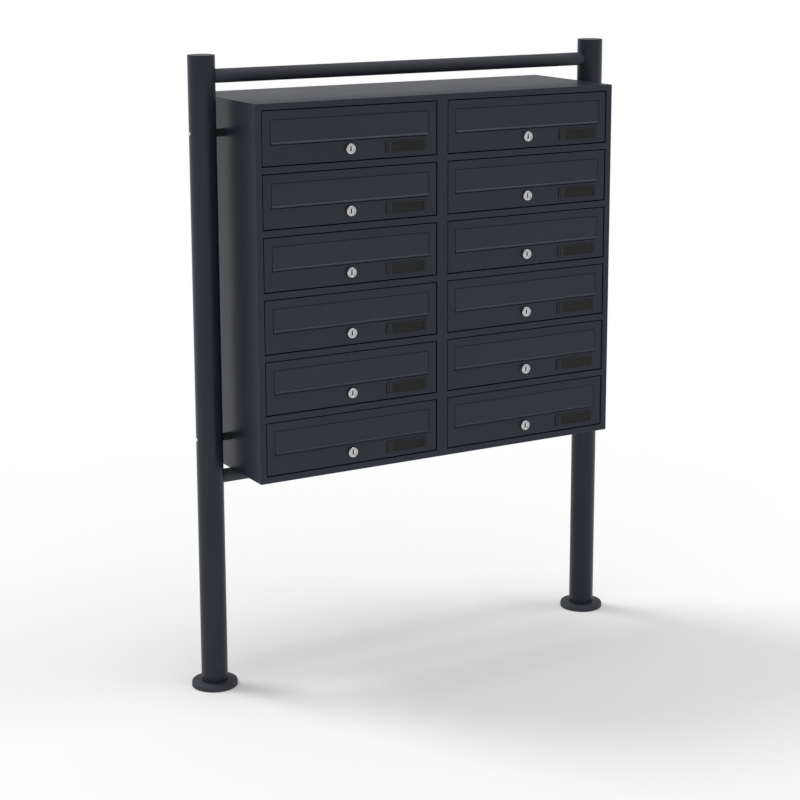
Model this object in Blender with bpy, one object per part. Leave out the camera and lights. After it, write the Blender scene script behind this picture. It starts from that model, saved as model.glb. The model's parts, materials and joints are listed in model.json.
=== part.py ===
"""Cluster mailbox unit: a bank of letter compartments hung between two round posts.

Metres, +Z up, front face towards -Y, floor at z = 0, bounding box centred on x = 0 and y = 0.
"""

import math

import bmesh
import bpy

MM = 0.001
GAP = 0.3 * MM  # air left between pieces that touch

ROWS = 6
COLUMNS = (("L", -1), ("R", 1))

# Casing
CASING_W = 745.2 * MM
CASING_H = 671.0 * MM
CASING_D = 258.0 * MM
CASING_Z = 409.0 * MM  # underside above the floor
WALL = 2.0 * MM
SHEET = 1.5 * MM
STILE = 11.8 * MM  # width of the casing's front flange at each side
TOP_BAR = 11.0 * MM
LIP = 11.5 * MM  # height of each front lip, at the foot of a window
RETURN = 15.0 * MM  # depth of the folded sides of a window, which hold the door pins
STRIKE = 7.0 * MM  # depth of the folds of a lip, whose top one the cam of a lock catches
STRIKE_DROP = 6.75 * MM
SEAM_INSET = 12.0 * MM  # from the edges of the back to the seam round the back sheet
SEAM_W = 1.2 * MM
SEAM_DEPTH = 0.8 * MM
MULLION_W = 21.6 * MM
PITCH_Z = 110.0 * MM
WINDOW_W = 350.0 * MM
WINDOW_H = PITCH_Z - LIP

# Doors, in a frame of their own: x from the middle, y back from the front skin, z up from the foot
DOOR_GAP = 2.0 * MM
DOOR_RECESS = 1.5 * MM
DOOR_W = WINDOW_W - 2 * DOOR_GAP
DOOR_H = WINDOW_H - 2 * DOOR_GAP
DOOR_FLANGE = 12.0 * MM
DOOR_FOOT_FLANGE = 6.0 * MM
DOOR_AXIS_Y = 6.0 * MM
DOOR_AXIS_DROP = 12.0 * MM  # hinge axis below the top edge of the door
PIN_R = 2.0 * MM
PIN_HOLE_R = 2.5 * MM
PIN_REACH = 4.6 * MM

# Mail slot and flap, in the frame of the door
SLOT_W = 315.5 * MM
SLOT_FOOT = 34.8 * MM
SLOT_HEAD = 79.25 * MM
SLOT_SILL = 7.0 * MM  # depth of the fold at the foot of the slot
FLAP_GAP = 0.8 * MM
FLAP_W = SLOT_W - 2 * FLAP_GAP
FLAP_HEAD = SLOT_HEAD - FLAP_GAP
FLAP_T = 1.3 * MM
FLAP_BEND = 39.8 * MM  # height where the finger lip starts to turn out
FINGER_OUT = 2.6 * MM  # how far the finger lip stands in front of the flap
FINGER_DROP = 3.7 * MM  # from the bend to the lowest point of the finger lip
FINGER_ROUND = 0.45 * MM
FLAP_AXIS_Y = 2.8 * MM
FLAP_AXIS_Z = FLAP_HEAD - 8.0 * MM  # low enough for the top edge to swing inside FLAP_GAP
KNUCKLE_R = 2.3 * MM
FLAP_PIN_R = 1.2 * MM
FLAP_HOLE_R = 1.6 * MM
EAR_T = 1.5 * MM
EAR_GAP = 0.55 * MM  # from the side of the slot to its ear
EAR_D = 4.6 * MM
EAR_H = 8.5 * MM

# Lock, turning about Y, in the frame of the door
LOCK_X = -3.2 * MM
LOCK_Z = 20.8 * MM
HEAD_R = 9.5 * MM
HEAD_LENGTH = 6.0 * MM
HEAD_BEVEL = 1.0 * MM
PLUG_R = 6.2 * MM
PLUG_SINK = 0.6 * MM
BARREL_R = 7.5 * MM
LOCK_HOLE_R = 8.0 * MM
CAM_Y = 6.8 * MM
CAM_T = 2.0 * MM
CAM_REACH = 29.0 * MM
CAM_HALF_W = 6.5 * MM
CAM_TIP_HALF_W = 4.5 * MM
CAM_TIP_CUT = 3.0 * MM  # length of the cut corners at the tip
TAIL_R = 3.5 * MM
TAIL_LENGTH = 2.0 * MM
KEYWAY_W = 1.8 * MM
KEYWAY_H = 8.6 * MM
KEYWAY_DEPTH = 3.0 * MM

# Name plate holder, in the frame of the door
PLATE_X = 111.0 * MM
PLATE_Z = 19.0 * MM
PLATE_W = 84.0 * MM
PLATE_H = 21.0 * MM
PLATE_T = 2.4 * MM
PLATE_CHAMFER = 0.8 * MM
POCKET_W = 66.0 * MM
POCKET_X = 2.5 * MM  # from the middle of the holder to the middle of its pocket
POCKET_H = 16.5 * MM
POCKET_DEPTH = 1.4 * MM
GROOVE_W = 1.6 * MM
GROOVE_X = 38.0 * MM  # from the middle of the holder to the groove in each end
GROOVE_DEPTH = 0.8 * MM

# Stand
POST_R = 24.15 * MM
POST_WALL = 2.5 * MM
POST_TOP_T = 3.0 * MM
POST_CHAMFER = 0.25 * MM
POST_OFFSET = 15.0 * MM  # from the side of the casing to the post
POST_H = 1157.0 * MM
FLANGE_R = 42.0 * MM
FLANGE_T = 9.5 * MM
FLANGE_ROUND = 2.4 * MM
RAIL_R = 12.5 * MM
TOP_RAIL_Z = 1119.5 * MM
LOW_RAIL_Z = CASING_Z - RAIL_R - GAP
SPACER_R = 7.2 * MM
SPACER_INSET = 60.0 * MM  # from the top and the bottom of the casing to each spacer

# Sides of the round pieces
TUBE_SIDES = 48
RAIL_SIDES = 36
SMALL_SIDES = 16
PIN_SIDES = 8
SMOOTH_UNDER = math.radians(50)  # faces that meet at less than this are shaded as one surface

# Places in the row frame
FRONT_Y = -(CASING_D - DOOR_RECESS + HEAD_LENGTH) / 2 + HEAD_LENGTH - DOOR_RECESS
BACK_Y = FRONT_Y + CASING_D
POST_Y = FRONT_Y + CASING_D / 2
POST_X = CASING_W / 2 + POST_OFFSET + POST_R
CASING_TOP = CASING_Z + CASING_H
SIDE_X = CASING_W / 2
WINDOW_X = (MULLION_W + WINDOW_W) / 2
DOOR_Y = FRONT_Y + DOOR_RECESS

ANTHRACITE = (0.030, 0.034, 0.043)
BLACK = (0.012, 0.012, 0.012)
NICKEL = (0.62, 0.62, 0.61)


def window_foot(row):
    """Height of the foot of a window, with row 0 at the top."""
    return CASING_TOP - TOP_BAR - row * PITCH_Z - WINDOW_H


def door_foot(row):
    return window_foot(row) + DOOR_GAP


# Shapes: each returns a closed mesh


def finished(bm, name):
    bmesh.ops.recalc_face_normals(bm, faces=bm.faces)
    mesh = bpy.data.meshes.new(name)
    bm.to_mesh(mesh)
    bm.free()
    return mesh


def prism(profile, low, high, place):
    """A flat profile pushed from low to high. place(a, b, t) gives the point at (a, b) and depth t."""
    bm = bmesh.new()
    ends = [[bm.verts.new(place(a, b, t)) for a, b in profile] for t in (low, high)]
    bm.faces.new(ends[0])
    bm.faces.new(ends[1])
    for i in range(len(profile)):
        j = (i + 1) % len(profile)
        bm.faces.new((ends[0][i], ends[0][j], ends[1][j], ends[1][i]))
    return finished(bm, "prism")


def along_x(a, b, t):
    return (t, a, b)


def along_y(a, b, t):
    return (a, t, b)


def along_z(a, b, t):
    return (a, b, t)


def block(x0, x1, y0, y1, z0, z1):
    return prism([(x0, y0), (x1, y0), (x1, y1), (x0, y1)], z0, z1, along_z)


def ring_points(radius, steps, middle=(0.0, 0.0)):
    turns = [2 * math.pi * i / steps for i in range(steps)]
    return [(middle[0] + radius * math.cos(t), middle[1] + radius * math.sin(t)) for t in turns]


def rod(radius, steps, low, high, place, middle=(0.0, 0.0)):
    return prism(ring_points(radius, steps, middle), low, high, place)


def turned(profile, steps, place, middle=(0.0, 0.0)):
    """A solid of revolution: profile is (radius, depth) from one flat end to the other."""
    bm = bmesh.new()
    rings = [
        [bm.verts.new(place(a, b, depth)) for a, b in ring_points(radius, steps, middle)]
        for radius, depth in profile
    ]
    bm.faces.new(rings[0])
    bm.faces.new(rings[-1])
    for first, second in zip(rings, rings[1:]):
        for i in range(steps):
            j = (i + 1) % steps
            bm.faces.new((first[i], first[j], second[j], second[i]))
    return finished(bm, "turned")


def joined(add, cut=()):
    """One mesh: the first shape with the other shapes of add fused on, then those of cut taken away."""
    scene = bpy.context.scene.collection
    body = bpy.data.objects.new("body", add[0])
    scene.objects.link(body)
    helpers, groups = [], []
    for operation, shapes in (("UNION", add[1:]), ("DIFFERENCE", cut)):
        if not shapes:
            continue
        group = bpy.data.collections.new("operands")
        scene.children.link(group)
        groups.append(group)
        for mesh in shapes:
            helper = bpy.data.objects.new("operand", mesh)
            helper.hide_render = True
            helper.display_type = "WIRE"
            group.objects.link(helper)
            helpers.append(helper)
        step = body.modifiers.new(operation.lower(), "BOOLEAN")
        step.operation = operation
        step.solver = "EXACT"
        step.operand_type = "COLLECTION"
        step.collection = group
    bpy.context.view_layer.update()
    graph = bpy.context.evaluated_depsgraph_get()
    result = bpy.data.meshes.new_from_object(body.evaluated_get(graph))
    for helper in [body, *helpers]:
        bpy.data.objects.remove(helper)
    for group in groups:
        bpy.data.collections.remove(group)
    return result


# Nodes


def material(name, colour, metallic, roughness):
    made = bpy.data.materials.new(name)
    made.use_nodes = True
    shader = made.node_tree.nodes["Principled BSDF"]
    shader.inputs["Base Color"].default_value = (*colour, 1.0)
    shader.inputs["Metallic"].default_value = metallic
    shader.inputs["Roughness"].default_value = roughness
    return made


def painted(name):
    return material(name, ANTHRACITE, 0.0, 0.45)


def plastic(name):
    return material(name, BLACK, 0.0, 0.5)


def plated(name):
    return material(name, NICKEL, 1.0, 0.2)


def node(name, mesh, finish, origin=(0.0, 0.0, 0.0), shape_at=(0.0, 0.0, 0.0)):
    """An object whose origin is the point origin, with mesh moved so that its own zero is at shape_at."""
    mesh = mesh.copy()
    mesh.name = name
    for vertex in mesh.vertices:
        vertex.co = [c + s - o for c, s, o in zip(vertex.co, shape_at, origin)]
    mesh.shade_smooth()
    mesh.set_sharp_from_angle(angle=SMOOTH_UNDER)
    mesh.materials.clear()
    mesh.materials.append(finish(name))
    made = bpy.data.objects.new(name, mesh)
    made.location = origin
    bpy.context.scene.collection.objects.link(made)
    return made


def door_pin_holes(sides):
    """Cutters through the folded sides of the windows, one for each door pin."""
    holes = []
    for row in range(ROWS):
        middle = (DOOR_Y + DOOR_AXIS_Y, door_foot(row) + DOOR_H - DOOR_AXIS_DROP)
        for side in sides:
            low, high = side - RETURN / 4, side + RETURN / 4
            holes.append(rod(PIN_HOLE_R, PIN_SIDES, low, high, along_x, middle))
    return holes


def casing_mesh():
    """The folded shell with its back, and the front frame that the doors hang in."""
    edge, half = SIDE_X - STILE, MULLION_W / 2
    shell = block(-SIDE_X, SIDE_X, FRONT_Y, BACK_Y, CASING_Z, CASING_TOP)
    hollow = block(
        WALL - SIDE_X, SIDE_X - WALL, FRONT_Y + SHEET, BACK_Y - WALL, CASING_Z + WALL, CASING_TOP - WALL
    )
    windows, folds = [], []
    for s in (-1, 1):
        for row in range(ROWS):
            foot = window_foot(row)
            x0, x1 = sorted((s * half, s * edge))
            windows.append(block(x0, x1, FRONT_Y - WALL, FRONT_Y + RETURN / 2, foot, foot + WINDOW_H))
        for near, far in ((edge, edge + SHEET), (half, half - SHEET)):
            x0, x1 = sorted((s * near, s * far))
            low, high = CASING_Z + WALL / 2, CASING_TOP - WALL / 2
            folds.append(block(x0, x1, FRONT_Y + SHEET / 2, FRONT_Y + RETURN, low, high))
    box = joined([shell], [hollow, back_seam(), *windows])
    lips = [lip_folds(window_foot(row), row < ROWS - 1) for row in range(ROWS)]
    sides = [s * x for s in (-1, 1) for x in (edge + SHEET / 2, half - SHEET / 2)]
    return joined([box, *folds, *lips], door_pin_holes(sides))


def back_seam():
    """A cutter for the groove round the back sheet."""
    layers = []
    for inset, depth in ((SEAM_INSET, SEAM_DEPTH), (SEAM_INSET + SEAM_W, 2 * SEAM_DEPTH)):
        x, low, high = SIDE_X - inset, CASING_Z + inset, CASING_TOP - inset
        layers.append(block(-x, x, BACK_Y - depth, BACK_Y + depth, low, high))
    return joined(layers[:1], layers[1:])


def lip_folds(top, with_foot):
    """The fold behind the top of a lip, back by STRIKE and down, and the one at its foot if it has one."""
    front, back, low = FRONT_Y + SHEET / 2, FRONT_Y + STRIKE, top - LIP
    reach = SIDE_X - STILE + SHEET / 2
    profile = [
        (front, top), (back, top), (back, top - STRIKE_DROP), (back - SHEET, top - STRIKE_DROP),
        (back - SHEET, top - SHEET), (front, top - SHEET),
    ]
    strike = prism(profile, -reach, reach, along_x)
    if not with_foot:
        return strike
    web = block(-reach, reach, FRONT_Y, FRONT_Y + SHEET, low + SHEET / 2, top - SHEET / 2)
    foot = block(-reach, reach, front, back, low, low + SHEET)
    return joined([web, strike, foot])


def grid_mesh():
    """The divider and the shelves, as one welded part behind the front frame."""
    front, behind = FRONT_Y + STRIKE + GAP, FRONT_Y + RETURN + GAP
    back = BACK_Y - WALL - GAP
    wall = SIDE_X - WALL - GAP
    add = [block(-WALL / 2, WALL / 2, behind, back, CASING_Z + WALL + GAP, CASING_TOP - WALL - GAP)]
    for row in range(ROWS - 1):
        low = window_foot(row) - LIP
        add.append(block(-wall, wall, behind, back, low, low + SHEET))
        for s in (-1, 1):
            x0, x1 = sorted((s * (MULLION_W / 2 + GAP), s * (SIDE_X - STILE - GAP)))
            add.append(block(x0, x1, front, behind + SHEET, low, low + SHEET))
    return joined(add)


def door_mesh():
    half = DOOR_W / 2
    inside = half - SHEET
    pan = block(-half, half, 0.0, DOOR_FLANGE, 0.0, DOOR_H)
    hollow = block(-inside, inside, SHEET, DOOR_FLANGE + SHEET, SHEET, DOOR_H - SHEET)
    short_foot = block(-inside, inside, DOOR_FOOT_FLANGE, DOOR_FLANGE + SHEET, -SHEET, 2 * SHEET)
    slot = block(-SLOT_W / 2, SLOT_W / 2, -SHEET, 2 * SHEET, SLOT_FOOT, SLOT_HEAD)
    lock_hole = rod(LOCK_HOLE_R, SMALL_SIDES, -SHEET, 2 * SHEET, along_y, (LOCK_X, LOCK_Z))
    tray = joined([pan], [hollow, short_foot, slot, lock_hole])

    sill = block(-SLOT_W / 2, SLOT_W / 2, SHEET / 2, SLOT_SILL, SLOT_FOOT - SHEET, SLOT_FOOT)
    axis = (DOOR_AXIS_Y, DOOR_H - DOOR_AXIS_DROP)
    flap_axis = (FLAP_AXIS_Y, FLAP_AXIS_Z)
    add, cut = [tray, sill], []
    for s in (-1, 1):
        ear = SLOT_W / 2 + EAR_GAP
        x0, x1 = sorted((s * ear, s * (ear + EAR_T)))
        low = FLAP_AXIS_Z - EAR_H / 2
        add.append(block(x0, x1, SHEET / 2, SHEET + EAR_D, low, low + EAR_H))
        cut.append(rod(FLAP_HOLE_R, PIN_SIDES, x0 - GAP, x1 + GAP, along_x, flap_axis))
        x0, x1 = sorted((s * (inside + SHEET / 2), s * (half + PIN_REACH)))
        add.append(rod(PIN_R, PIN_SIDES, x0, x1, along_x, axis))
    return joined(add, cut)


def flap_mesh():
    """A flap with a rolled edge at the top, stub pins, and a finger lip turned out at the foot."""
    tip, low = -FINGER_OUT, FLAP_BEND - FINGER_DROP
    profile = [
        (0.0, FLAP_HEAD), (0.0, FLAP_BEND), (tip + FINGER_ROUND / 3, low + 2 * FINGER_ROUND),
        (tip, low + FINGER_ROUND), (tip + FINGER_ROUND, low),
        (tip + 2 * FINGER_ROUND, low + FINGER_ROUND / 4),
        (FLAP_T, FLAP_BEND - FLAP_T / 2), (FLAP_T, FLAP_HEAD),
    ]
    middle = (FLAP_AXIS_Y, FLAP_AXIS_Z)
    reach = SLOT_W / 2 + 2 * EAR_GAP + EAR_T
    leaf = prism(profile, -FLAP_W / 2, FLAP_W / 2, along_x)
    roll = rod(KNUCKLE_R, PIN_SIDES, -FLAP_W / 2 + GAP, FLAP_W / 2 - GAP, along_x, middle)
    pins = rod(FLAP_PIN_R, PIN_SIDES, -reach, reach, along_x, middle)
    return joined([leaf, roll, pins])


def lock_mesh():
    """A cam lock: head, barrel, cam pointing to +x and the screw that holds the cam."""
    face = -HEAD_LENGTH
    barrel_end = CAM_Y + CAM_T / 2
    profile = [
        (PLUG_R, face + PLUG_SINK), (PLUG_R, face), (HEAD_R - HEAD_BEVEL, face),
        (HEAD_R, face + HEAD_BEVEL), (HEAD_R, -GAP),
        (BARREL_R, -GAP), (BARREL_R, barrel_end), (TAIL_R, barrel_end),
        (TAIL_R, CAM_Y + CAM_T + TAIL_LENGTH),
    ]
    shoulder = CAM_REACH - CAM_TIP_CUT
    outline = [
        (-CAM_HALF_W, -CAM_HALF_W), (BARREL_R, -CAM_HALF_W), (shoulder, -CAM_TIP_HALF_W),
        (CAM_REACH, -CAM_TIP_HALF_W / 2), (CAM_REACH, CAM_TIP_HALF_W / 2),
        (shoulder, CAM_TIP_HALF_W), (BARREL_R, CAM_HALF_W), (-CAM_HALF_W, CAM_HALF_W),
    ]
    cam = prism(outline, CAM_Y, CAM_Y + CAM_T, along_y)
    wide, high = KEYWAY_W / 2, KEYWAY_H / 2
    keyway = block(-wide, wide, face - SHEET, face + PLUG_SINK + KEYWAY_DEPTH, -high, high)
    return joined([turned(profile, SMALL_SIDES, along_y), cam], [keyway])


def plate_mesh():
    """A holder for a name card: a chamfered frame with a pocket, and a groove in each end."""
    face, back = -PLATE_T, -GAP
    wide, high = PLATE_W / 2, PLATE_H / 2
    bm = bmesh.new()
    rings = []
    for inset, depth in ((0.0, back), (0.0, face + PLATE_CHAMFER), (PLATE_CHAMFER, face)):
        x, z = wide - inset, high - inset
        corners = ((-x, -z), (x, -z), (x, z), (-x, z))
        rings.append([bm.verts.new((a, depth, b)) for a, b in corners])
    bm.faces.new(rings[0])
    bm.faces.new(rings[-1])
    for first, second in zip(rings, rings[1:]):
        for i in range(4):
            j = (i + 1) % 4
            bm.faces.new((first[i], first[j], second[j], second[i]))
    frame = finished(bm, "frame")
    half = POCKET_H / 2
    x0, x1 = POCKET_X - POCKET_W / 2, POCKET_X + POCKET_W / 2
    cut = [block(x0, x1, face - SHEET, face + POCKET_DEPTH, -half, half)]
    for s in (-1, 1):
        x0, x1 = s * GROOVE_X - GROOVE_W / 2, s * GROOVE_X + GROOVE_W / 2
        cut.append(block(x0, x1, face - SHEET, face + GROOVE_DEPTH, -half, half))
    return joined([frame], cut)


def post_mesh():
    profile = [
        (POST_R - POST_WALL, POST_H - POST_TOP_T), (POST_R - POST_WALL, FLANGE_T + GAP),
        (POST_R, FLANGE_T + GAP), (POST_R, POST_H - POST_CHAMFER), (POST_R - POST_CHAMFER, POST_H),
    ]
    return turned(profile, TUBE_SIDES, along_z)


def flange_mesh():
    """A round plate with a rounded top edge."""
    middle_r, middle_z = FLANGE_R - FLANGE_ROUND, FLANGE_T - FLANGE_ROUND
    turns = [math.radians(a) for a in (0, 45, 90)]
    rim = [(middle_r + FLANGE_ROUND * math.cos(t), middle_z + FLANGE_ROUND * math.sin(t)) for t in turns]
    return turned([(FLANGE_R, 0.0), *rim], TUBE_SIDES, along_z)


def post_cutters(low, high):
    """A cutter round each post, a little fatter than the post, between two heights."""
    return [rod(POST_R + GAP, TUBE_SIDES, low, high, along_z, (s * POST_X, POST_Y)) for s in (-1, 1)]


def rail_mesh(height):
    """A rail whose ends are shaped to the two posts."""
    bar = rod(RAIL_R, RAIL_SIDES, -POST_X, POST_X, along_x, (POST_Y, height))
    return joined([bar], post_cutters(height - 2 * RAIL_R, height + 2 * RAIL_R))


def spacer_mesh(side, height):
    """A spacer from the side of the casing to a post, with its outer end shaped to the post."""
    x0, x1 = sorted((side * (SIDE_X + GAP), side * POST_X))
    bar = rod(SPACER_R, SMALL_SIDES, x0, x1, along_x, (POST_Y, height))
    return joined([bar], post_cutters(height - 2 * SPACER_R, height + 2 * SPACER_R))


def build():
    for old in list(bpy.data.objects):
        bpy.data.objects.remove(old)

    node("casing", casing_mesh(), painted, (0.0, POST_Y, CASING_Z))
    node("compartment_grid", grid_mesh(), painted, (0.0, POST_Y, CASING_Z))

    post, flange = post_mesh(), flange_mesh()
    for name, side in (("left", -1), ("right", 1)):
        at = (side * POST_X, POST_Y, 0.0)
        node(f"post_{name}", post, painted, at, at)
        node(f"base_flange_{name}", flange, painted, at, at)
        for level, height in (("upper", CASING_TOP - SPACER_INSET), ("lower", CASING_Z + SPACER_INSET)):
            spacer = spacer_mesh(side, height)
            node(f"spacer_{name}_{level}", spacer, plastic, (side * SIDE_X, POST_Y, height))
    node("top_rail", rail_mesh(TOP_RAIL_Z), painted, (0.0, POST_Y, TOP_RAIL_Z))
    node("lower_rail", rail_mesh(LOW_RAIL_Z), painted, (0.0, POST_Y, LOW_RAIL_Z))

    door, flap, lock, plate = door_mesh(), flap_mesh(), lock_mesh(), plate_mesh()
    for column, side in COLUMNS:
        x = side * WINDOW_X
        for row in range(ROWS):
            tag = f"{column}{row + 1}"
            foot = door_foot(row)
            at = (x, DOOR_Y, foot)
            hinge = (x, DOOR_Y + DOOR_AXIS_Y, foot + DOOR_H - DOOR_AXIS_DROP)
            flap_hinge = (x, DOOR_Y + FLAP_AXIS_Y, foot + FLAP_AXIS_Z)
            lock_at = (x + LOCK_X, DOOR_Y, foot + LOCK_Z)
            plate_at = (x + PLATE_X, DOOR_Y, foot + PLATE_Z)
            node(f"door_{tag}", door, painted, hinge, at)
            node(f"mail_flap_{tag}", flap, painted, flap_hinge, at)
            node(f"cam_lock_{tag}", lock, plated, lock_at, lock_at)
            node(f"name_plate_{tag}", plate, plastic, plate_at, plate_at)


build()
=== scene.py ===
"""Looks of a free-standing cluster mailbox: powder-coated sheet steel, nickel locks, black name plates.

Metres, +Z up, the doors face -Y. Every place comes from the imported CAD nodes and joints.
"""

import json
import math

import bmesh
import bpy
from mathutils import Matrix, Vector

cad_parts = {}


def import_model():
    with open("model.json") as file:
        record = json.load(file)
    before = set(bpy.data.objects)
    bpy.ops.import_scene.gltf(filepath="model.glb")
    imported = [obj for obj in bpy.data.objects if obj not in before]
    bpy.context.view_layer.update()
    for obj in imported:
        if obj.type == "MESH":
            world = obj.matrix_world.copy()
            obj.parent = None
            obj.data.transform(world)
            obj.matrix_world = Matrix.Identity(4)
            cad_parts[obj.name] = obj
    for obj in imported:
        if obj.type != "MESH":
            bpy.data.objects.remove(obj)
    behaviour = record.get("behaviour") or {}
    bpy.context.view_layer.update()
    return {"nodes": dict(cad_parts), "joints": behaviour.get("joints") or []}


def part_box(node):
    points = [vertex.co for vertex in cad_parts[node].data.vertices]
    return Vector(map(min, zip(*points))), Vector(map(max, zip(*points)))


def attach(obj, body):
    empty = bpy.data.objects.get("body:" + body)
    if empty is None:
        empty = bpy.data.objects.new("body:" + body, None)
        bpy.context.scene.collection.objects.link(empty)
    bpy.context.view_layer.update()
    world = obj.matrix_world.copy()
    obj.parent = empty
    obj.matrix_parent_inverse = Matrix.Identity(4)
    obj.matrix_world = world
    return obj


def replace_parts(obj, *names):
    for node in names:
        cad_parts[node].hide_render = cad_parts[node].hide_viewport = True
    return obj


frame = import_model()

MM = 0.001
ROOT = "stand_and_casing"
TAGS = [f"{column}{row}" for column in "LR" for row in range(1, 7)]
JOINTS = {joint["name"]: joint for joint in frame["joints"]}
TURN = 2 * math.pi


def middle_of(joint):
    return Vector(JOINTS[joint]["pos_m"])


# Lock, about its own axis, with y = 0 on the front skin of the door
LOCK_LOW, LOCK_HIGH = (Vector(corner) - middle_of("cam_lock_L1_turn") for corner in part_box("cam_lock_L1"))
HEAD_R = LOCK_HIGH.z
FACE = LOCK_LOW.y
CAM_REACH = LOCK_HIGH.x
TAIL = LOCK_HIGH.y
SEAT = -0.05 * MM
PLUG_R = 6.2 * MM
BARREL_R = 7.4 * MM
BARREL_END = 6.2 * MM
CAM_Y = 6.8 * MM
CAM_T = 2.0 * MM
NUT_Y = 1.6 * MM


# Shapes


def mesh_object(name, bm, look, smooth_under=35):
    """A new object from a finished bmesh, shaded smooth across faces that meet at a small angle."""
    bmesh.ops.recalc_face_normals(bm, faces=bm.faces)
    mesh = bpy.data.meshes.new(name)
    bm.to_mesh(mesh)
    bm.free()
    mesh.shade_smooth()
    mesh.set_sharp_from_angle(angle=math.radians(smooth_under))
    mesh.materials.append(look)
    made = bpy.data.objects.new(name, mesh)
    bpy.context.scene.collection.objects.link(made)
    return made


def lathe(profile, steps=64, ring=False):
    """A turned shape about Y from (radius, y) points. ring joins the last point to the first."""
    bm = bmesh.new()
    turns = [TURN * i / steps for i in range(steps)]
    loops = [[bm.verts.new((r * math.cos(t), y, r * math.sin(t))) for t in turns] for r, y in profile]
    for first, second in zip(loops, loops[1:] + loops[:1] if ring else loops[1:]):
        for i in range(steps):
            j = (i + 1) % steps
            bm.faces.new((first[i], first[j], second[j], second[i]))
    if not ring:
        bm.faces.new(loops[0])
        bm.faces.new(loops[-1])
    return bm


def slab(outline, y0, y1):
    """A flat outline of (x, z) points, made thick from y0 to y1."""
    bm = bmesh.new()
    ends = [[bm.verts.new((x, y, z)) for x, z in outline] for y in (y0, y1)]
    bm.faces.new(ends[0])
    bm.faces.new(ends[1])
    count = len(outline)
    for i in range(count):
        j = (i + 1) % count
        bm.faces.new((ends[0][i], ends[0][j], ends[1][j], ends[1][i]))
    return bm


def arc(middle, radius, start, end, steps):
    """Points on an arc, from start to end in degrees, both ends included."""
    angles = [math.radians(start + (end - start) * i / steps) for i in range(steps + 1)]
    return [(middle[0] + radius * math.cos(a), middle[1] + radius * math.sin(a)) for a in angles]


def hexagon(corner_r):
    return arc((0, 0), corner_r, 0, 300, 5)


def rounded_box(half_w, half_h, radius, steps=5):
    """An outline of a rectangle with round corners, about its middle."""
    points = []
    for sx, sz, start in ((1, 1, 0), (-1, 1, 90), (-1, -1, 180), (1, -1, 270)):
        middle = (sx * (half_w - radius), sz * (half_h - radius))
        points += arc(middle, radius, start, start + 90, steps)
    return points


def applied(made, modifiers):
    """Adds modifiers, given as (type, settings), and applies them all to the mesh."""
    for kind, settings in modifiers:
        step = made.modifiers.new(kind.lower(), kind)
        for key, value in settings.items():
            setattr(step, key, value)
    graph = bpy.context.evaluated_depsgraph_get()
    mesh = bpy.data.meshes.new_from_object(made.evaluated_get(graph))
    made.modifiers.clear()
    made.data = mesh
    return made


def carved(made, cutter):
    """made with cutter taken away."""
    applied(made, [("BOOLEAN", {"object": cutter, "operation": "DIFFERENCE", "solver": "EXACT"})])
    bpy.data.objects.remove(cutter)
    return made


def rounded(made, width):
    """made with its sharp edges rounded off."""
    limits = {"limit_method": "ANGLE", "angle_limit": math.radians(30), "harden_normals": True}
    return applied(made, [("BEVEL", {"width": width, "segments": 3, **limits})])


def pattern(made):
    """The mesh of a finished object, which itself leaves the scene."""
    mesh = made.data
    bpy.data.objects.remove(made)
    return mesh


def bead(middles, outward, radius, ripple, sides=8):
    """A closed weld bead along a loop of points; outward gives the direction away from the pipe at each."""
    bm = bmesh.new()
    count = len(middles)
    loops = []
    for i, (middle, out) in enumerate(zip(middles, outward)):
        along = (middles[(i + 1) % count] - middles[i - 1]).normalized()
        up = along.cross(out).normalized()
        size = radius * (1 + ripple * math.sin(TURN * i / 3))
        turns = [TURN * k / sides for k in range(sides)]
        loops.append([bm.verts.new(middle + size * (math.cos(t) * out + math.sin(t) * up)) for t in turns])
    for first, second in zip(loops, loops[1:] + loops[:1]):
        for k in range(sides):
            j = (k + 1) % sides
            bm.faces.new((first[k], first[j], second[j], second[k]))
    return bm


def placed(source, name, at, body, turn=0.0):
    """A copy of source, sharing its mesh, put at a point, turned about Z and riding a body."""
    made = bpy.data.objects.new(name, source)
    bpy.context.scene.collection.objects.link(made)
    made.location = at
    made.rotation_euler = (0.0, 0.0, turn)
    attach(made, body)
    return made


# Materials


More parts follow.
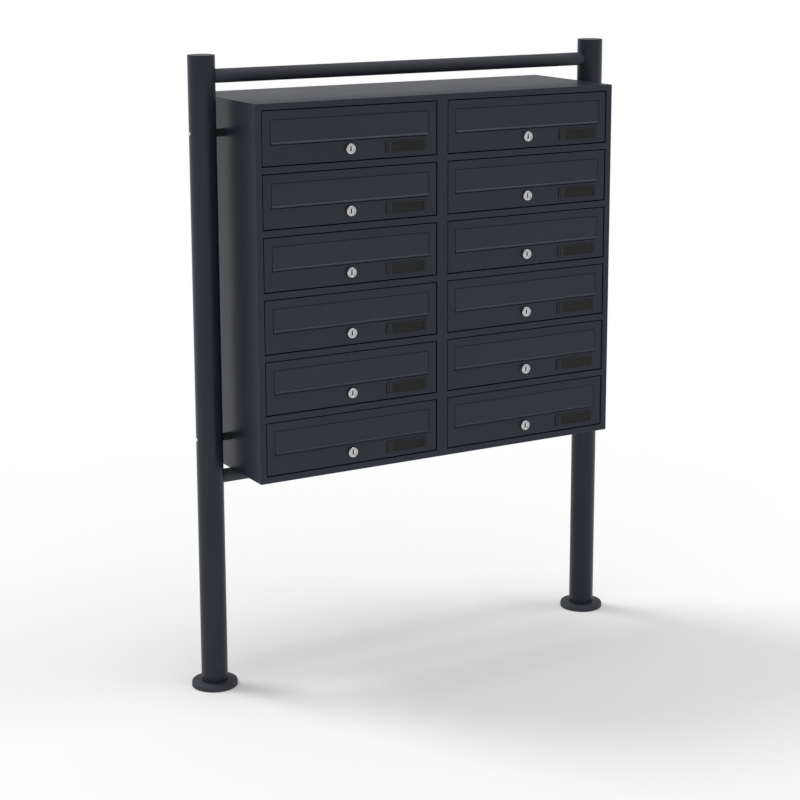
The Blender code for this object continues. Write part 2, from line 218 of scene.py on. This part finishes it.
class Look:
    """A node material under construction, with its Principled BSDF as shader."""

    def __init__(self, name, colour, roughness, metallic=0.0, **sockets):
        self.material = bpy.data.materials.new(name)
        self.material.use_nodes = True
        self.tree = self.material.node_tree
        self.shader = self.tree.nodes["Principled BSDF"]
        self.colour = colour
        self.shader.inputs["Base Color"].default_value = (*colour, 1)
        self.shader.inputs["Roughness"].default_value = roughness
        self.shader.inputs["Metallic"].default_value = metallic
        for name, value in sockets.items():
            self.shader.inputs[name.replace("_", " ")].default_value = value
        self.place = self.tree.nodes.new("ShaderNodeTexCoord").outputs["Object"]

    def add(self, kind, **inputs):
        """A new node, with each input linked to a socket or set to a value."""
        made = self.tree.nodes.new(kind)
        for name, value in inputs.items():
            socket = made.inputs[name]
            if isinstance(value, bpy.types.NodeSocket):
                self.tree.links.new(value, socket)
            else:
                socket.default_value = value
        return made

    def noise(self, scale, detail=2.0, rough=0.5):
        """Noise from 0 to 1 in the object's own space; scale is in blobs per metre."""
        made = self.add("ShaderNodeTexNoise", Vector=self.place, Scale=scale, Detail=detail)
        made.inputs["Roughness"].default_value = rough
        return made.outputs["Fac"]

    def ramp(self, value, low, high, to_low, to_high):
        """value mapped from low..high to to_low..to_high."""
        made = self.add("ShaderNodeMapRange", Value=value)
        for name, number in (("From Min", low), ("From Max", high), ("To Min", to_low), ("To Max", to_high)):
            made.inputs[name].default_value = number
        return made.outputs["Result"]

    def tint(self, value, spread):
        """Varies the base colour by value, from 1 - spread to 1 + spread times itself."""
        mix = self.tree.nodes.new("ShaderNodeMix")
        mix.data_type = "RGBA"
        low = [c * (1 - spread) for c in self.colour]
        high = [c * (1 + spread) for c in self.colour]
        mix.inputs[6].default_value = (*low, 1)
        mix.inputs[7].default_value = (*high, 1)
        self.tree.links.new(value, mix.inputs[0])
        self.tree.links.new(mix.outputs[2], self.shader.inputs["Base Color"])

    def roughen(self, value, low, high):
        """Varies the roughness by value, from low to high."""
        self.tree.links.new(self.ramp(value, 0.3, 0.7, low, high), self.shader.inputs["Roughness"])

    def bump(self, height, distance, strength=1.0):
        """Makes the surface uneven by height, up to a distance in metres."""
        made = self.add("ShaderNodeBump", Height=height, Distance=distance, Strength=strength)
        self.tree.links.new(made.outputs["Normal"], self.shader.inputs["Normal"])


def powder_coat(name, colour, roughness, specular):
    """Anthracite powder coat, with a faint unevenness of tone and sheen."""
    look = Look(name, colour, roughness, Specular_IOR_Level=specular)
    uneven = 0.015
    look.tint(look.ramp(look.noise(5.0, 4.0), 0.35, 0.65, 0, 1), 0.04)
    look.roughen(look.noise(12.0, 3.0), roughness - uneven, roughness + uneven)
    look.bump(look.noise(900.0, 2.0), 0.015 * MM, 0.5)
    return look.material


def nickel_plate():
    look = Look("nickel_plate", (0.54, 0.53, 0.53), 0.16, 1.0)
    look.tint(look.noise(300.0, 3.0), 0.05)
    look.roughen(look.noise(900.0, 3.0), 0.12, 0.20)
    look.bump(look.noise(1800.0, 2.0), 0.004 * MM)
    return look.material


# Near-black metal for the walls and floor of the key slot: painted shade in the recess
def key_slot_painted_shade():
    look = Look("key_slot_painted_shade", (0.05, 0.045, 0.04), 0.55, 1.0)
    look.tint(look.noise(900.0, 3.0), 0.3)
    look.roughen(look.noise(1500.0, 2.0), 0.45, 0.65)
    return look.material


def zinc_plate():
    look = Look("zinc_plate", (0.48, 0.48, 0.46), 0.38, 1.0)
    look.tint(look.noise(160.0, 5.0, 0.65), 0.16)
    look.roughen(look.noise(420.0, 4.0), 0.30, 0.48)
    look.bump(look.noise(1300.0, 3.0), 0.008 * MM)
    return look.material


def bright_steel():
    look = Look("bright_steel", (0.86, 0.86, 0.85), 0.22, 1.0)
    look.tint(look.noise(400.0, 3.0), 0.03)
    look.roughen(look.noise(1200.0, 3.0), 0.18, 0.28)
    return look.material


def holder_plastic():
    look = Look("holder_plastic", (0.0225, 0.0245, 0.0290), 0.5, Specular_IOR_Level=0.20)
    look.tint(look.noise(70.0, 3.0), 0.06)
    look.roughen(look.noise(300.0, 2.0), 0.46, 0.54)
    look.bump(look.noise(1500.0, 2.0), 0.010 * MM, 0.7)
    return look.material


def black_plastic():
    look = Look("black_plastic", (0.016, 0.016, 0.016), 0.5, Specular_IOR_Level=0.20)
    look.tint(look.noise(60.0, 3.0), 0.10)
    look.roughen(look.noise(300.0, 2.0), 0.46, 0.56)
    look.bump(look.noise(1500.0, 2.0), 0.012 * MM, 0.7)
    return look.material


def black_insert():
    look = Look("black_insert", (0.010, 0.010, 0.0095), 0.36, Specular_IOR_Level=0.20)
    look.tint(look.noise(35.0, 3.0), 0.08)
    look.roughen(look.noise(120.0, 3.0), 0.32, 0.42)
    look.bump(look.noise(900.0, 1.0), 0.004 * MM, 0.5)
    return look.material


# The coat of the sheet and posts, the glossier one of the flaps, and a duller copy for rails and flanges
# whose lighter base colour is painted light
PAINT = powder_coat("anthracite_powder_coat", (0.0163, 0.0201, 0.0328), 0.35, 0.25)
FLAP_PAINT = powder_coat("flap_powder_coat", (0.0142, 0.0180, 0.0312), 0.27, 0.28)
DULL_PAINT_WITH_PAINTED_LIGHT = powder_coat("dull_powder_coat_painted_light", (0.0195, 0.0230, 0.0340), 0.65, 0.6)
NICKEL = nickel_plate()
KEY_SLOT_SHADE = key_slot_painted_shade()
ZINC = zinc_plate()
STEEL = bright_steel()
HOLDER = holder_plastic()
PLASTIC = black_plastic()
INSERT = black_insert()


# The CAD nodes that stay: finishes and softened edges


def finish_of(node):
    if node.startswith("cam_lock"):
        return NICKEL
    if node.startswith("name_plate"):
        return HOLDER
    if node.startswith("spacer"):
        return PLASTIC
    # Rails and flanges take the duller copy of the coat, made lighter as painted light
    if node.startswith("base_flange") or node.endswith("rail"):
        return DULL_PAINT_WITH_PAINTED_LIGHT
    if node.startswith("mail_flap"):
        return FLAP_PAINT
    return PAINT


def soften(node, width):
    """Rounds the sharp edges of a CAD node, as bent and coated sheet has them."""
    target = frame["nodes"][node]
    if "custom_normal" in target.data.attributes:
        target.data.attributes.remove(target.data.attributes["custom_normal"])
    target.data.shade_smooth()
    weld = target.modifiers.new("weld", "WELD")
    weld.merge_threshold = 0.005 * MM
    bevel = target.modifiers.new("bevel", "BEVEL")
    bevel.width = width
    bevel.segments = 2
    bevel.limit_method = "ANGLE"
    bevel.angle_limit = math.radians(40)
    bevel.harden_normals = True


for node_name, node_object in frame["nodes"].items():
    node_object.data.materials.clear()
    node_object.data.materials.append(finish_of(node_name))

EDGE = {"casing": 0.5 * MM, "door": 0.5 * MM, "mail_flap": 0.25 * MM, "base_flange": 0.3 * MM}
for node_name in frame["nodes"]:
    for start, width in EDGE.items():
        if node_name.startswith(start):
            soften(node_name, width)


# Locks


def lock_housing():
    """The fixed head of a lock, with a rounded rim, and the threaded barrel behind it."""
    rim_round = 1.7 * MM
    bore = PLUG_R + 0.1 * MM
    mouth = 0.35 * MM
    pitch = 1.0 * MM
    profile = [(bore, BARREL_END), (bore, FACE + mouth), (bore + mouth, FACE)]
    profile += arc((HEAD_R - rim_round, FACE + rim_round), rim_round, 270, 360, 8)
    profile += [(HEAD_R, SEAT), (BARREL_R, SEAT), (BARREL_R, NUT_Y - pitch)]
    crests = 5
    for turn in range(crests):
        crest = NUT_Y + (turn - 0.5) * pitch
        profile += [(BARREL_R - pitch / 3, crest), (BARREL_R, crest + pitch / 2)]
    profile.append((BARREL_R - pitch / 3, BARREL_END))
    return pattern(mesh_object("lock_housing", lathe(profile, 72, ring=True), NICKEL))


def lock_plug():
    """The plug that the key turns: a dished face with a key slot, and a narrower neck for the cam."""
    sink = FACE + 0.5 * MM
    edge = 0.4 * MM
    dish_r = PLUG_R - 1.3 * MM
    profile = [
        (dish_r - edge, sink + edge), (dish_r, sink), (PLUG_R - edge, sink), (PLUG_R, sink + edge),
        (PLUG_R, BARREL_END + edge), (PLUG_R - 2 * edge, BARREL_END + edge), (PLUG_R - 2 * edge, CAM_Y),
    ]
    made = mesh_object("lock_plug", lathe(profile, 64), NICKEL)
    # The second material, near-black metal, darkens the inside of the key slot as painted shade
    made.data.materials.append(KEY_SLOT_SHADE)
    slot_half_w, slot_half_h, slot_round, depth = 1.0 * MM, 4.3 * MM, 0.5 * MM, 4.0 * MM
    hole = slab(rounded_box(slot_half_w, slot_half_h, slot_round), FACE - depth, sink + depth)
    carved(made, mesh_object("hole", hole, NICKEL))
    slack = 1.01
    below_dish = sink + 1.1 * edge
    for face in made.data.polygons:
        x, y, z = face.center
        inside = abs(x) <= slot_half_w * slack and abs(z) <= slot_half_h * slack
        face.material_index = int(inside and y > below_dish)
    return pattern(made)


def lock_cam():
    """A flat cam pointing to +X, with a round hub and a blunt tip."""
    hub_r, hub_open, half_tip, tip_round = 7.3 * MM, 62, 4.4 * MM, 2.2 * MM
    corner = CAM_REACH - tip_round
    outline = arc((0, 0), hub_r, hub_open, 360 - hub_open, 20)
    outline += arc((corner, tip_round - half_tip), tip_round, 270, 360, 5)
    outline += arc((corner, half_tip - tip_round), tip_round, 0, 90, 5)
    made = mesh_object("lock_cam", slab(outline, CAM_Y, CAM_Y + CAM_T), ZINC)
    edge_round = 0.25 * MM
    return pattern(rounded(made, edge_round))


def cam_screw():
    """The screw and washer that hold the cam, with a crosshead recess."""
    seat, washer_t, washer_r = CAM_Y + CAM_T, 0.6 * MM, 5.2 * MM
    head_r, dome_h, dome_step = 3.5 * MM, 0.7 * MM, 0.3
    rises = [dome_step * i for i in range(5)]
    dome = [(head_r * math.cos(a), TAIL - dome_h * (1 - math.sin(a))) for a in rises]
    profile = [(washer_r, seat), (washer_r, seat + washer_t), (head_r, seat + washer_t), *dome]
    made = mesh_object("cam_screw", lathe(profile, 48), ZINC)
    wide, long, corner, depth = 0.45 * MM, 2.0 * MM, 0.1 * MM, 1.1 * MM
    for half_w, half_h in ((wide, long), (long, wide)):
        recess = slab(rounded_box(half_w, half_h, corner, 2), TAIL - depth, TAIL + depth)
        carved(made, mesh_object("recess", recess, ZINC))
    return pattern(made)


def lock_nut():
    """The hexagon nut that holds the barrel behind the skin of the door."""
    corner_r, thick, edge_round = 11.4 * MM, 3.8 * MM, 0.5 * MM
    made = mesh_object("lock_nut", slab(hexagon(corner_r), NUT_Y, NUT_Y + thick), ZINC)
    rounded(made, edge_round)
    bore_r, past = BARREL_R + 0.15 * MM, 1.0 * MM
    bore = lathe([(bore_r, NUT_Y - past), (bore_r, NUT_Y + thick + past)], 48)
    return pattern(carved(made, mesh_object("bore", bore, ZINC)))


def fit_locks():
    """Housing and nut stay on the door; plug, cam and screw turn with the lock."""
    housing, plug, cam, screw, nut = lock_housing(), lock_plug(), lock_cam(), cam_screw(), lock_nut()
    for tag in TAGS:
        at, door, lock = middle_of(f"cam_lock_{tag}_turn"), f"door_body_{tag}", f"lock_body_{tag}"
        placed(housing, f"lock_housing_{tag}", at, door)
        placed(nut, f"lock_nut_{tag}", at, door)
        placed(cam, f"lock_cam_{tag}", at, lock)
        placed(screw, f"cam_screw_{tag}", at, lock)
        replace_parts(placed(plug, f"lock_plug_{tag}", at, lock), f"cam_lock_{tag}")


# Doors: blank inserts in the name plate holders, and bushes on the hinge pins


def fit_inserts():
    """Blank black inserts, a little nearer to the right end of their holders."""
    low, high = (Vector(corner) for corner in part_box("name_plate_L1"))
    end_margin, long_margin, aside = 9.3 * MM, 2.55 * MM, 2.5 * MM
    front, back, corner_round, edge_round = 0.5 * MM, 1.35 * MM, 0.6 * MM, 0.3 * MM
    outline = rounded_box((high.x - low.x) / 2 - end_margin, (high.z - low.z) / 2 - long_margin, corner_round)
    made = mesh_object("insert", slab(outline, front, back), INSERT)
    insert = pattern(rounded(made, edge_round))
    for tag in TAGS:
        low, high = (Vector(corner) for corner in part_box(f"name_plate_{tag}"))
        at = ((low.x + high.x) / 2 + aside, low.y, (low.z + high.z) / 2)
        placed(insert, f"name_insert_{tag}", at, f"door_body_{tag}")


def fit_bushes():
    """A collared bush on each hinge pin, in the gap between a door and the side of its window."""
    bore_r, outer_r, wide, collar, round_r = 2.1 * MM, 3.5 * MM, 1.6 * MM, 0.5 * MM, 0.3 * MM
    profile = [(bore_r, 0.0), (bore_r, wide), (outer_r - collar, wide), (outer_r - collar, wide - collar)]
    profile += [(outer_r - round_r, wide - collar), (outer_r, wide - collar - round_r), (outer_r, 0.0)]
    bush = pattern(mesh_object("bush", lathe(profile, 40, ring=True), PLASTIC))
    pin_reach, clear = 4.6 * MM, 0.15 * MM
    for tag in TAGS:
        low, high = (Vector(corner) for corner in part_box(f"door_{tag}"))
        hinge = middle_of(f"door_{tag}_hinge")
        inset = pin_reach - clear
        for side, x, turn in (("left", low.x + inset, TURN / 4), ("right", high.x - inset, -TURN / 4)):
            name = f"hinge_bush_{tag}_{side}"
            placed(bush, name, (x, hinge.y, hinge.z), f"door_body_{tag}", turn)


# Stand: bolts through the posts into the spacers, and weld beads


def post_bolt():
    """A button head with a hexagon socket, pointing to -Y, with its seat a little inside the post."""
    head_r, proud, sunk, flat_r = 3.0 * MM, 2.6 * MM, 0.4 * MM, 1.9 * MM
    dome = arc((0, 0), 1.0, 90, 0, 8)
    profile = [(flat_r + (head_r - flat_r) * a, -proud * (0.25 + 0.75 * b)) for a, b in dome]
    profile.append((head_r, sunk))
    made = mesh_object("post_bolt", lathe(profile, 48), STEEL)
    socket_r, depth = 1.45 * MM, 1.4 * MM
    socket = slab(hexagon(socket_r), -proud - depth, depth - proud)
    return pattern(carved(made, mesh_object("socket", socket, STEEL)))


def fit_bolts():
    """A bolt on the outer side of a post for each spacer, just above the spacer's middle."""
    bolt = post_bolt()
    above = 1.0 * MM
    for side, corner, turn in (("left", 0, -TURN / 4), ("right", 1, TURN / 4)):
        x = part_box(f"post_{side}")[corner][0]
        for level in ("upper", "lower"):
            low, high = (Vector(end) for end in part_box(f"spacer_{side}_{level}"))
            at = (x, (low.y + high.y) / 2, (low.z + high.z) / 2 + above)
            placed(bolt, f"post_bolt_{side}_{level}", at, ROOT, turn)


def weld(name, middles, outward, radius):
    """A painted bead on the stand, with a slight ripple."""
    ripple = 0.08
    made = mesh_object(name, bead(middles, outward, radius, ripple), PAINT, smooth_under=80)
    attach(made, ROOT)


def weld_stand():
    """Coated weld beads where the rails meet the posts and where the posts stand on their flanges."""
    steps, foot_bead, rail_bead = 90, 0.6 * MM, 1.0 * MM
    turns = [TURN * i / steps for i in range(steps)]
    for side, sign in (("left", -1), ("right", 1)):
        low, high = (Vector(corner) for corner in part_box(f"post_{side}"))
        post_x, post_y, post_r = (low.x + high.x) / 2, (low.y + high.y) / 2, (high.y - low.y) / 2
        out = [Vector((math.cos(t), math.sin(t), 0)) for t in turns]
        foot = [Vector((post_x, post_y, low.z)) + post_r * step for step in out]
        weld(f"weld_foot_{side}", foot, out, foot_bead)
        for rail in ("top_rail", "lower_rail"):
            rail_low, rail_high = (Vector(corner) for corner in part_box(rail))
            rail_r, rail_z = (rail_high.z - rail_low.z) / 2, (rail_high.z + rail_low.z) / 2
            out = [Vector((0, math.cos(t), math.sin(t))) for t in turns]
            saddle = []
            for step in out:
                y = rail_r * step.y
                x = post_x - sign * math.sqrt(post_r ** 2 - y ** 2)
                saddle.append(Vector((x, post_y + y, rail_z + rail_r * step.z)))
            weld(f"weld_{rail}_{side}", saddle, out, rail_bead)


fit_locks()
fit_inserts()
fit_bushes()
fit_bolts()
weld_stand()


# Floor, lights and camera


def floor():
    """A pale matte disc with its top at height 0."""
    look = Look("studio_floor", (0.93, 0.93, 0.93), 0.9, Specular_IOR_Level=0.1)
    look.tint(look.noise(0.6, 3.0), 0.004)
    floor_r, floor_t = 60.0, 2 * MM
    bm = lathe([(floor_r, 0.0), (floor_r, -floor_t)], 96)
    bmesh.ops.rotate(bm, verts=bm.verts, matrix=Matrix.Rotation(math.pi / 2, 3, "X"))
    made = mesh_object("floor", bm, look.material)


def sun(name, energy, across, towards):
    """A large round soft source, some degrees across, far away."""
    data = bpy.data.lights.new(name, "SUN")
    data.energy = energy
    data.angle = math.radians(across)
    made = bpy.data.objects.new(name, data)
    made.rotation_euler = Vector(towards).to_track_quat("-Z", "Y").to_euler()
    bpy.context.scene.collection.objects.link(made)


def world():
    """Even pale light from all sides."""
    made = bpy.data.worlds.new("studio")
    made.use_nodes = True
    made.node_tree.nodes["Background"].inputs["Color"].default_value = (1, 1, 1, 1)
    made.node_tree.nodes["Background"].inputs["Strength"].default_value = 0.51
    bpy.context.scene.world = made


def camera():
    """The photograph's camera, from the perspective fit of its edges."""
    data = bpy.data.cameras.new("camera")
    data.sensor_width = 36
    data.lens = 88.539
    data.shift_x = -0.03203
    data.shift_y = -0.12059
    data.clip_end = 200
    made = bpy.data.objects.new("camera", data)
    made.location = (-1.823507, -3.144854, 1.408311)
    made.rotation_euler = (math.radians(78.599), 0, math.radians(-30.642))
    bpy.context.scene.collection.objects.link(made)
    bpy.context.scene.camera = made


floor()
sun("key", 1.03, 20, (0.3581, -0.4661, -0.809))
sun("overhead", 0.64, 22, (0, 0, -1))
sun("front", 0.40, 28, (-0.49, 0.27, -0.83))
world()
camera()
bpy.context.scene.view_settings.view_transform = "Standard"
